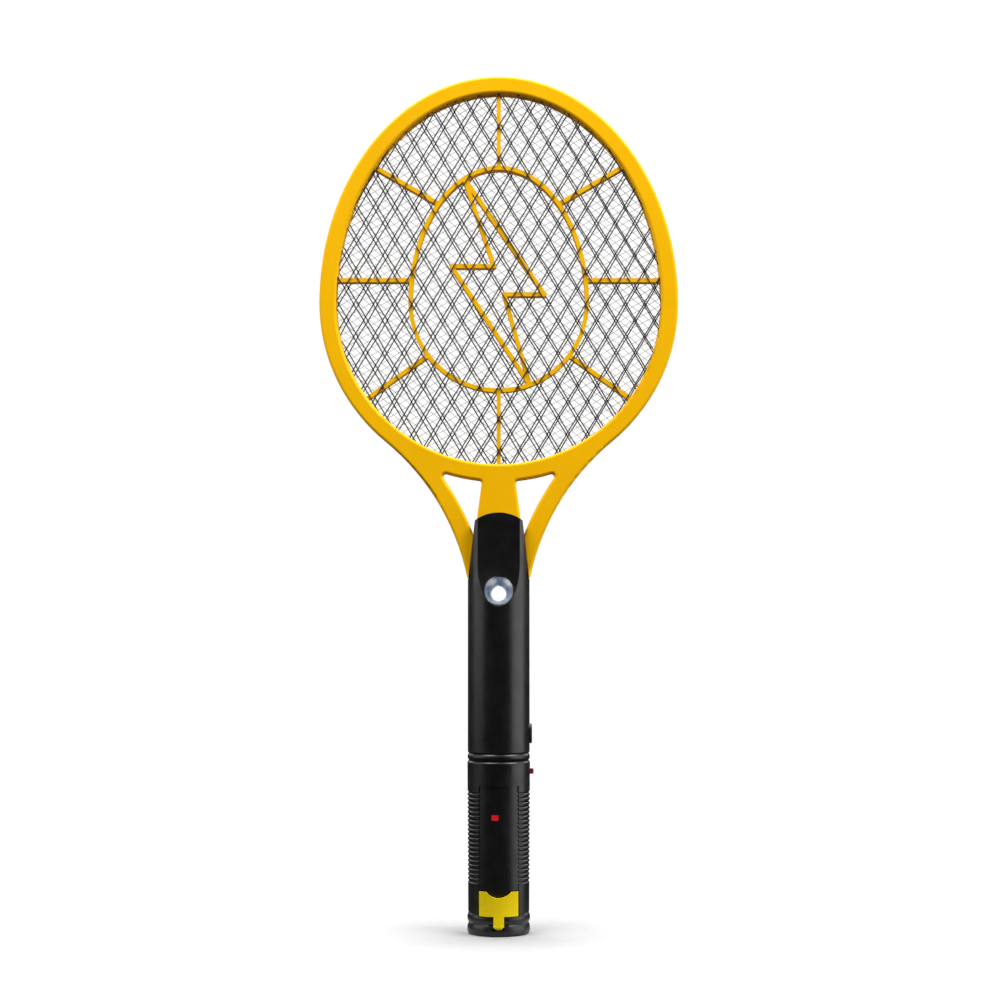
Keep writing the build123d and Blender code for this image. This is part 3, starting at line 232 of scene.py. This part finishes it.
def plastic(name, colour, roughness, grain_size, grain_depth, *, variation=0.06, worn=None, crease_shade_amount=0.25,
            specular=0.5, coat=0.0, edge=0.5 * MM):
    """Moulded plastic: soft colour changes, fine grain, dull patches, worn edges, and painted shade that
    darkens the creases.
    """
    s = Shader(name)
    broad = s.noise(tone_size, 4.0)
    fine = s.noise(grain_size, 2.0)
    marks = s.noise(mark_size, 5.0, roughness=0.65)
    base = s.mix(s.spread(broad, 0.3, 0.7), shade(colour, 1 - variation), shade(colour, 1 + variation))
    base = s.mix(s.spread(fine, 0.35, 0.75, 0.0, 0.12), base, shade(colour, 0.8))
    # painted shade: an occlusion mask darkens the colour in creases and hollows
    crease_shade_mask = s.spread(s.corners(crease_reach, False), 0.15, 0.9, 0.0, crease_shade_amount)
    base = s.mix(crease_shade_mask, base, shade(colour, 0.35))
    if worn:
        rub = s.sum(s.spread(s.corners(edge, True), 0.25, 0.8), s.spread(marks, 0.42, 0.62), "MULTIPLY")
        base = s.mix(s.sum(rub, 0.55, "MULTIPLY"), base, worn)
    s.link(base, s.bsdf.inputs["Base Color"])
    dull = s.sum(s.spread(marks, 0.35, 0.75, -0.05, 0.08), s.spread(fine, 0.3, 0.7, -0.03, 0.03))
    s.link(s.sum(dull, roughness), s.bsdf.inputs["Roughness"])
    s.bsdf.inputs["Specular IOR Level"].default_value = specular
    s.bsdf.inputs["Coat Weight"].default_value = coat
    s.bsdf.inputs["Coat Roughness"].default_value = 0.12
    flow = s.bump(s.noise(flow_size, 2.0, (1, 1, 0.35)), flow_depth)
    s.link(s.bump(fine, grain_depth, flow), s.bsdf.inputs["Normal"])
    return s.material


def metal(name, colour, roughness, *, metallic=1.0, brush=(1, 1, 1), grain_size=0.5 * MM,
          grain_depth=0.01 * MM, variation=0.15, tarnish=None):
    """Metal or coated metal: fine streaks, soft patches and, where it is given, a darker tarnish."""
    s = Shader(name)
    streak = s.noise(grain_size, 3.0, brush)
    patch = s.noise(6 * MM, 4.0)
    base = s.mix(s.spread(patch, 0.35, 0.7), shade(colour, 1 + variation), shade(colour, 1 - variation))
    if tarnish:
        base = s.mix(s.spread(s.noise(2.4 * MM, 5.0), 0.52, 0.68, 0.0, 0.7), base, tarnish)
    s.link(base, s.bsdf.inputs["Base Color"])
    s.bsdf.inputs["Metallic"].default_value = metallic
    s.link(s.spread(streak, 0.3, 0.7, roughness - 0.06, roughness + 0.1), s.bsdf.inputs["Roughness"])
    s.link(s.bump(streak, grain_depth), s.bsdf.inputs["Normal"])
    return s.material


def lens_material():
    """Clear plastic, slightly hazed."""
    s = Shader("lens_clear")
    s.bsdf.inputs["Base Color"].default_value = (0.97, 0.985, 1.0, 1.0)
    s.bsdf.inputs["Transmission Weight"].default_value = 1.0
    s.bsdf.inputs["IOR"].default_value = 1.47
    s.link(s.spread(s.noise(1.2 * MM, 3.0), 0.3, 0.8, 0.27, 0.35), s.bsdf.inputs["Roughness"])
    s.link(s.bump(s.noise(5.0 * MM, 1.0), 0.004 * MM), s.bsdf.inputs["Normal"])
    return s.material


def led_material():
    """The lit face of the lamp."""
    s = Shader("led_white")
    glow = s.noise(0.9 * MM, 2.0)
    s.link(s.mix(s.spread(glow, 0.3, 0.7), linear(250, 252, 255), linear(226, 238, 255)),
           s.bsdf.inputs["Base Color"])
    s.bsdf.inputs["Roughness"].default_value = 0.2
    s.bsdf.inputs["Emission Color"].default_value = (0.86, 0.94, 1.0, 1.0)
    s.bsdf.inputs["Emission Strength"].default_value = led_strength
    return s.material


def indicator_material():
    """Red translucent plastic with a faint light behind it."""
    s = Shader("indicator_red")
    s.link(s.mix(s.spread(s.noise(1.1 * MM, 3.0), 0.3, 0.7), linear(190, 14, 26), linear(226, 30, 40)),
           s.bsdf.inputs["Base Color"])
    s.link(s.spread(s.noise(0.5 * MM, 2.0), 0.3, 0.7, 0.2, 0.34), s.bsdf.inputs["Roughness"])
    s.link(s.bump(s.noise(0.35 * MM, 2.0), 0.015 * MM), s.bsdf.inputs["Normal"])
    s.bsdf.inputs["Emission Color"].default_value = (0.8, 0.01, 0.02, 1.0)
    s.bsdf.inputs["Emission Strength"].default_value = indicator_strength
    return s.material


yellow = linear(246, 184, 0)
black = (0.0022, 0.0020, 0.0020, 1.0)
finishes = {
    "frame_yellow": plastic("frame_yellow", yellow, 0.44, 0.35 * MM, 0.012 * MM, variation=0.03,
                            worn=linear(252, 208, 50), crease_shade_amount=0.3, edge=0.6 * MM, specular=0.12),
    "handle_black": plastic("handle_black", black, 0.34, 0.22 * MM, 0.016 * MM, variation=0.15,
                            worn=(0.03, 0.03, 0.032, 1), crease_shade_amount=0.5),
    "button_black": plastic("button_black", (0.009, 0.009, 0.009, 1), 0.42, 0.25 * MM, 0.02 * MM,
                            variation=0.15, worn=(0.04, 0.04, 0.04, 1)),
    "knob_red": plastic("knob_red", linear(150, 38, 58), 0.35, 0.2 * MM, 0.01 * MM,
                        worn=linear(206, 120, 134)),
    "cover_yellow": plastic("cover_yellow", linear(218, 190, 0), 0.6, 0.75 * MM, 0.16 * MM, variation=0.07,
                            worn=linear(232, 208, 40), crease_shade_amount=0.3, specular=0.15),
    "inlet_black": plastic("inlet_black", (0.006, 0.006, 0.006, 1), 0.5, 0.25 * MM, 0.02 * MM),
    "board_green": plastic("board_green", linear(16, 84, 44), 0.3, 0.6 * MM, 0.01 * MM, coat=0.4),
    "ferrite": plastic("ferrite", linear(52, 52, 54), 0.6, 0.4 * MM, 0.02 * MM),
    "capacitor_brown": plastic("capacitor_brown", linear(122, 52, 24), 0.28, 1.2 * MM, 0.03 * MM, coat=0.5),
    "component_black": plastic("component_black", linear(34, 34, 36), 0.5, 0.3 * MM, 0.02 * MM),
    "resistor_tan": plastic("resistor_tan", linear(196, 164, 116), 0.35, 0.4 * MM, 0.01 * MM, coat=0.3),
    "plunger_white": plastic("plunger_white", linear(232, 230, 222), 0.4, 0.3 * MM, 0.01 * MM),
    "battery_wrap": plastic("battery_wrap", linear(30, 104, 156), 0.25, 2.0 * MM, 0.02 * MM, coat=0.6),
    "wire_red": plastic("wire_red", linear(170, 24, 24), 0.45, 0.3 * MM, 0.01 * MM),
    "wire_black": plastic("wire_black", linear(28, 28, 30), 0.45, 0.3 * MM, 0.01 * MM),
    "net_dark": metal("net_dark", linear(32, 33, 36), 0.5, metallic=0.2, grain_size=0.4 * MM,
                      grain_depth=0.02 * MM, tarnish=linear(26, 27, 29)),
    "net_wire": metal("net_wire", linear(150, 152, 156), 0.45, metallic=0.2, grain_size=0.3 * MM),
    "screw_steel": metal("screw_steel", linear(150, 150, 154), 0.32, grain_size=0.25 * MM,
                         tarnish=linear(104, 104, 108)),
    "reflector_chrome": metal("reflector_chrome", linear(16, 30, 50), 0.36, grain_size=1.5 * MM,
                              grain_depth=0.004 * MM, variation=0.04),
    "contact_brass": metal("contact_brass", linear(214, 178, 98), 0.22, grain_size=0.2 * MM),
    "copper_winding": metal("copper_winding", linear(196, 110, 58), 0.3, brush=(0.2, 0.2, 2.5),
                            grain_size=0.5 * MM, grain_depth=0.06 * MM),
    "battery_nickel": metal("battery_nickel", linear(188, 184, 176), 0.3, grain_size=0.3 * MM),
    "lens_clear": lens_material(),
    "led_white": led_material(),
    "indicator_red": indicator_material(),
}


def dress(thing, finish):
    thing.data.materials.clear()
    thing.data.materials.append(finish)


def dress_cad_nodes():
    """Each CAD node takes the finish that the record's material slot names."""
    for row in frame["record"]["subparts"]:
        dress(nodes[row["node"]], finishes[row["material_slot"]])


# ================= nets =================
class Opening:
    """The outline that the nets are cut to: a half circle below its widest line, half an oval above it."""

    def __init__(self, node):
        low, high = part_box(node)
        self.half = (high.x - low.x) / 2
        self.middle = low.z + self.half
        self.rise = high.z - self.middle
        self.low, self.high = low, high

    def holds(self, point):
        tall = self.rise if point.z > self.middle else self.half
        return (point.x / self.half) ** 2 + ((point.z - self.middle) / tall) ** 2 <= 1.0

    def edge_between(self, inner, outer):
        for _ in range(edge_halvings):
            half_way = (inner + outer) / 2
            if self.holds(half_way):
                inner = half_way
            else:
                outer = half_way
        return inner

    def cut(self, path):
        """The stretches of a path that lie inside."""
        runs, run = [], []
        for here, following in zip(path, path[1:] + [None]):
            if self.holds(here):
                run.append(here)
                if following is not None and not self.holds(following):
                    run.append(self.edge_between(here, following))
                    runs.append(run)
                    run = []
            elif following is not None and self.holds(following):
                run = [self.edge_between(following, here)]
        if run:
            runs.append(run)
        return [r for r in runs if sum((b - a).length for a, b in zip(r, r[1:])) > shortest_strand]


def sweep(name, paths, width, depth, sides, tilts=None):
    """One mesh of bars that follow the paths. A bar's section is a small oval, turned by its tilt."""
    points, faces = [], []
    for number, path in enumerate(paths):
        tilt = math.radians(tilts[number]) if tilts else 0.0
        start = len(points)
        for k, here in enumerate(path):
            along = (path[min(k + 1, len(path) - 1)] - path[max(k - 1, 0)]).normalized()
            side = along.cross(Vector((0, 1, 0))).normalized()
            out = side.cross(along).normalized()
            for j in range(sides):
                turn = 2 * math.pi * (j + 0.5) / sides
                a, b = math.cos(turn) * width / 2, math.sin(turn) * depth / 2
                across = a * math.cos(tilt) - b * math.sin(tilt)
                deep = a * math.sin(tilt) + b * math.cos(tilt)
                points.append(here + side * across + out * deep)
        for k in range(len(path) - 1):
            for j in range(sides):
                a = start + k * sides + j
                b = start + k * sides + (j + 1) % sides
                faces.append((a, b, b + sides, a + sides))
        faces.append([start + j for j in reversed(range(sides))])
        faces.append([start + (len(path) - 1) * sides + j for j in range(sides)])
    mesh = bpy.data.meshes.new(name)
    mesh.from_pydata(points, [], faces)
    mesh.validate()
    mesh.shade_smooth()
    made = bpy.data.objects.new(name, mesh)
    scene.collection.objects.link(made)
    return made


def guard_net(name, node, shift, jitter, seed):
    """Expanded metal: strands that run together over a short knuckle at every corner of the diamonds."""
    draw = random.Random(seed)
    outline = Opening(node)
    low, high = outline.low, outline.high
    middle_y = (low.y + high.y) / 2
    wide, tall = net_cell[0] / 2, net_cell[1] / 2
    columns = int((high.x - low.x) / wide) // 2 + 2
    rows = int((high.z - low.z) / tall) + 3
    corner = {}
    for i in range(-columns, columns + 1):
        for j in range(rows + 1):
            corner[i, j] = Vector((
                i * wide + shift[0] + draw.uniform(-jitter, jitter),
                middle_y,
                low.z + (j - 1) * tall + shift[1] + draw.uniform(-jitter, jitter),
            ))
    paths, tilts = [], []
    for (i, j), top in corner.items():
        if (i + j) % 2:
            continue
        for side in (-1, 1):
            foot = corner.get((i + side, j - 1))
            if foot is None:
                continue
            start = top + Vector((side * knuckle_spread, 0, 0))
            end = foot - Vector((side * knuckle_spread, 0, 0))
            leave = start - Vector((0, 0, knuckle_half))
            join = end + Vector((0, 0, knuckle_half))
            run = join - leave
            bow = Vector((
                draw.uniform(-strand_bow[0], strand_bow[0]),
                draw.uniform(-strand_bow[1], strand_bow[1]),
                0,
            ))
            # two points close together keep each bend crisp
            path = [
                start, start.lerp(leave, 0.6), leave + run * 0.02, leave + run * 0.08,
                leave + run * 0.5 + bow,
                leave + run * 0.92, leave + run * 0.98, end.lerp(join, 0.6), end,
            ]
            for piece in outline.cut(path):
                paths.append(piece)
                tilts.append(side * strand_tilt)
    made = sweep(name, paths, strand_width, strand_depth, 6, tilts)
    dress(made, finishes["net_dark"])
    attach(made, "swatter")
    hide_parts(node)


def live_net():
    """Two sets of fine wires that pass over and under each other, none of them quite straight."""
    outline = Opening("net_front")
    centre = Vector((0, 0, outline.middle))
    reach = outline.rise + outline.half
    directions, normals = [], []
    for angle in wire_angles:
        a = math.radians(angle)
        directions.append(Vector((math.cos(a), 0, math.sin(a))))
        normals.append(Vector((-math.sin(a), 0, math.cos(a))))
    lengths = [random.Random(40 + k).uniform(*wander_wave) * MM for k in range(4)]
    phases = [random.Random(60 + k).uniform(0, 6.3) for k in range(4)]

    def wave(k, place):
        return math.sin(place / lengths[k] * 6.28 + phases[k])

    def stray(p):
        across = wave(0, p.z) + wave(1, p.x + p.z)
        up = wave(2, p.x) + wave(3, p.x - p.z)
        return Vector((across, 0, up)) * (wire_wander / 2)

    paths = []
    count = int(reach / wire_pitch)
    for own, other, side in ((0, 1, 1), (1, 0, -1)):
        for k in range(-count, count + 1):
            path = []
            steps = int(reach / wire_step)
            for n in range(-steps, steps + 1):
                flat = centre + normals[own] * (k * wire_pitch) + directions[own] * (n * wire_step)
                crossing = (flat - centre).dot(normals[other]) / wire_pitch
                lift = side * wire_radius * math.cos(math.pi * (crossing + k))
                path.append(flat + stray(flat) + Vector((0, lift, 0)))
            paths += outline.cut(path)
    made = sweep("live_net", paths, 2 * wire_radius, 2 * wire_radius, 5)
    dress(made, finishes["net_wire"])
    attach(made, "swatter")
    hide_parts("net_middle")


def wire_ends():
    """A curled and a twisted wire end at the foot of the opening, behind the front guard net."""
    outline = Opening("net_front")
    foot = Vector((0, outline.high.y + end_behind, outline.low.z + end_lift))
    curl = [foot + curl_root]
    for n in range(curl_points + 1):
        share = n / curl_points
        turn = math.radians(curl_start - curl_sweep * share)
        radius = curl_radius * (1 - 0.3 * share)
        ring = Vector((radius * math.cos(turn), curl_depth * share, radius * math.sin(turn)))
        curl.append(foot + curl_middle + ring)
    twist = [foot + twist_root]
    for n in range(twist_points + 1):
        share = n / twist_points
        turn = 2 * math.pi * twist_turns * share
        ring = Vector((twist_radius * math.cos(turn), twist_radius * math.sin(turn), twist_height * share))
        twist.append(foot + twist_foot + ring)
    twist.append(twist[-1] + twist_tail)
    made = sweep("wire_ends", [curl, twist], end_width, end_width, 8)
    dress(made, finishes["net_dark"])
    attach(made, "swatter")


# ================= stage, light and camera =================
def floor():
    """A round grey floor that turns clear a short way from the object, so that only a shadow round the base
    shows: partly the real shadow, partly painted shadow from the floor's own grey.
    """
    points = [(0, 0, 0)]
    faces = []
    for radius in floor_rings:
        for k in range(floor_segments):
            turn = 2 * math.pi * k / floor_segments
            points.append((radius * math.cos(turn), radius * math.sin(turn), 0))
    for k in range(floor_segments):
        following = (k + 1) % floor_segments
        faces.append((0, 1 + k, 1 + following))
        for ring in range(len(floor_rings) - 1):
            a = 1 + ring * floor_segments
            b = a + floor_segments
            faces.append((a + k, b + k, b + following, a + following))
    mesh = bpy.data.meshes.new("floor")
    mesh.from_pydata(points, [], faces)
    made = bpy.data.objects.new("floor", mesh)
    scene.collection.objects.link(made)
    s = Shader("floor_painted_shadow")
    # painted shadow: this grey, faded out with distance below, darkens the floor round the base
    s.bsdf.inputs["Base Color"].default_value = painted_shadow_grey
    s.bsdf.inputs["Roughness"].default_value = 0.6
    s.bsdf.inputs["Specular IOR Level"].default_value = 0.3
    away = s.add("ShaderNodeVectorMath", operation="LENGTH")
    s.link(s.place, away.inputs[0])
    clear = s.add("ShaderNodeBsdfTransparent")
    blend = s.add("ShaderNodeMixShader")
    s.link(s.spread(away.outputs["Value"], floor_fade_start, floor_fade_end), blend.inputs[0])
    s.link(s.bsdf.outputs[0], blend.inputs[1])
    s.link(clear.outputs[0], blend.inputs[2])
    s.link(blend.outputs[0], s.out.inputs["Surface"])
    dress(made, s.material)


def softbox(name, azimuth, elevation, distance, size, power, aim_height):
    """A flat soft light that isn't seen itself."""
    a, e = math.radians(azimuth), math.radians(elevation)
    aim = Vector((0, 0, aim_height))
    towards = Vector((math.sin(a) * math.cos(e), -math.cos(a) * math.cos(e), math.sin(e)))
    light = bpy.data.lights.new(name, "AREA")
    light.shape = "RECTANGLE"
    light.size, light.size_y = size
    light.energy = power
    made = bpy.data.objects.new(name, light)
    made.location = aim + towards * distance
    made.rotation_euler = towards.to_track_quat("Z", "Y").to_euler()
    made.visible_camera = False
    scene.collection.objects.link(made)


def lights():
    for row in soft_lights:
        softbox(*row)
    lamp_low, lamp_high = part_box("lamp_lens")
    middle = (lamp_low + lamp_high) / 2
    glow = bpy.data.lights.new("lamp_glow", "POINT")
    glow.energy = glow_power
    glow.shadow_soft_size = glow_size
    glow.color = (0.85, 0.93, 1.0)
    made = bpy.data.objects.new("lamp_glow", glow)
    made.location = (middle.x, lamp_low.y - glow_ahead, middle.z + glow_above)
    made.visible_camera = False
    scene.collection.objects.link(made)


def world():
    """White where the camera sees it, and a faint cool fill light for everything else."""
    made = bpy.data.worlds.new("studio")
    made.use_nodes = True
    tree = made.node_tree
    tree.nodes.clear()
    out = tree.nodes.new("ShaderNodeOutputWorld")
    seen = tree.nodes.new("ShaderNodeBackground")
    seen.inputs["Color"].default_value = (1, 1, 1, 1)
    seen.inputs["Strength"].default_value = backdrop_strength
    shed = tree.nodes.new("ShaderNodeBackground")
    shed.inputs["Color"].default_value = (0.93, 0.96, 1, 1)
    shed.inputs["Strength"].default_value = fill_strength
    path = tree.nodes.new("ShaderNodeLightPath")
    mix = tree.nodes.new("ShaderNodeMixShader")
    tree.links.new(path.outputs["Is Camera Ray"], mix.inputs[0])
    tree.links.new(shed.outputs[0], mix.inputs[1])
    tree.links.new(seen.outputs[0], mix.inputs[2])
    tree.links.new(mix.outputs[0], out.inputs["Surface"])
    scene.world = made


def camera():
    data = bpy.data.cameras.new("camera")
    made = bpy.data.objects.new("camera", data)
    scene.collection.objects.link(made)
    made.location = (camera_side, -camera_distance, camera_height)
    aim = Vector((camera_side, 0, camera_aim_height))
    sight = aim - made.location
    made.rotation_euler = sight.to_track_quat("-Z", "Y").to_euler()
    data.sensor_width = 36
    data.lens = data.sensor_width * sight.length / view_height
    data.clip_start = 0.05
    data.clip_end = 60
    scene.camera = made


scene.view_settings.view_transform = "Standard"
dress_cad_nodes()
guard_net("guard_net_front", "net_front", (0.0, 0.0), front_jitter, 11)
guard_net("guard_net_rear", "net_rear", rear_shift, rear_jitter, 23)
live_net()
wire_ends()
floor()
lights()
world()
camera()
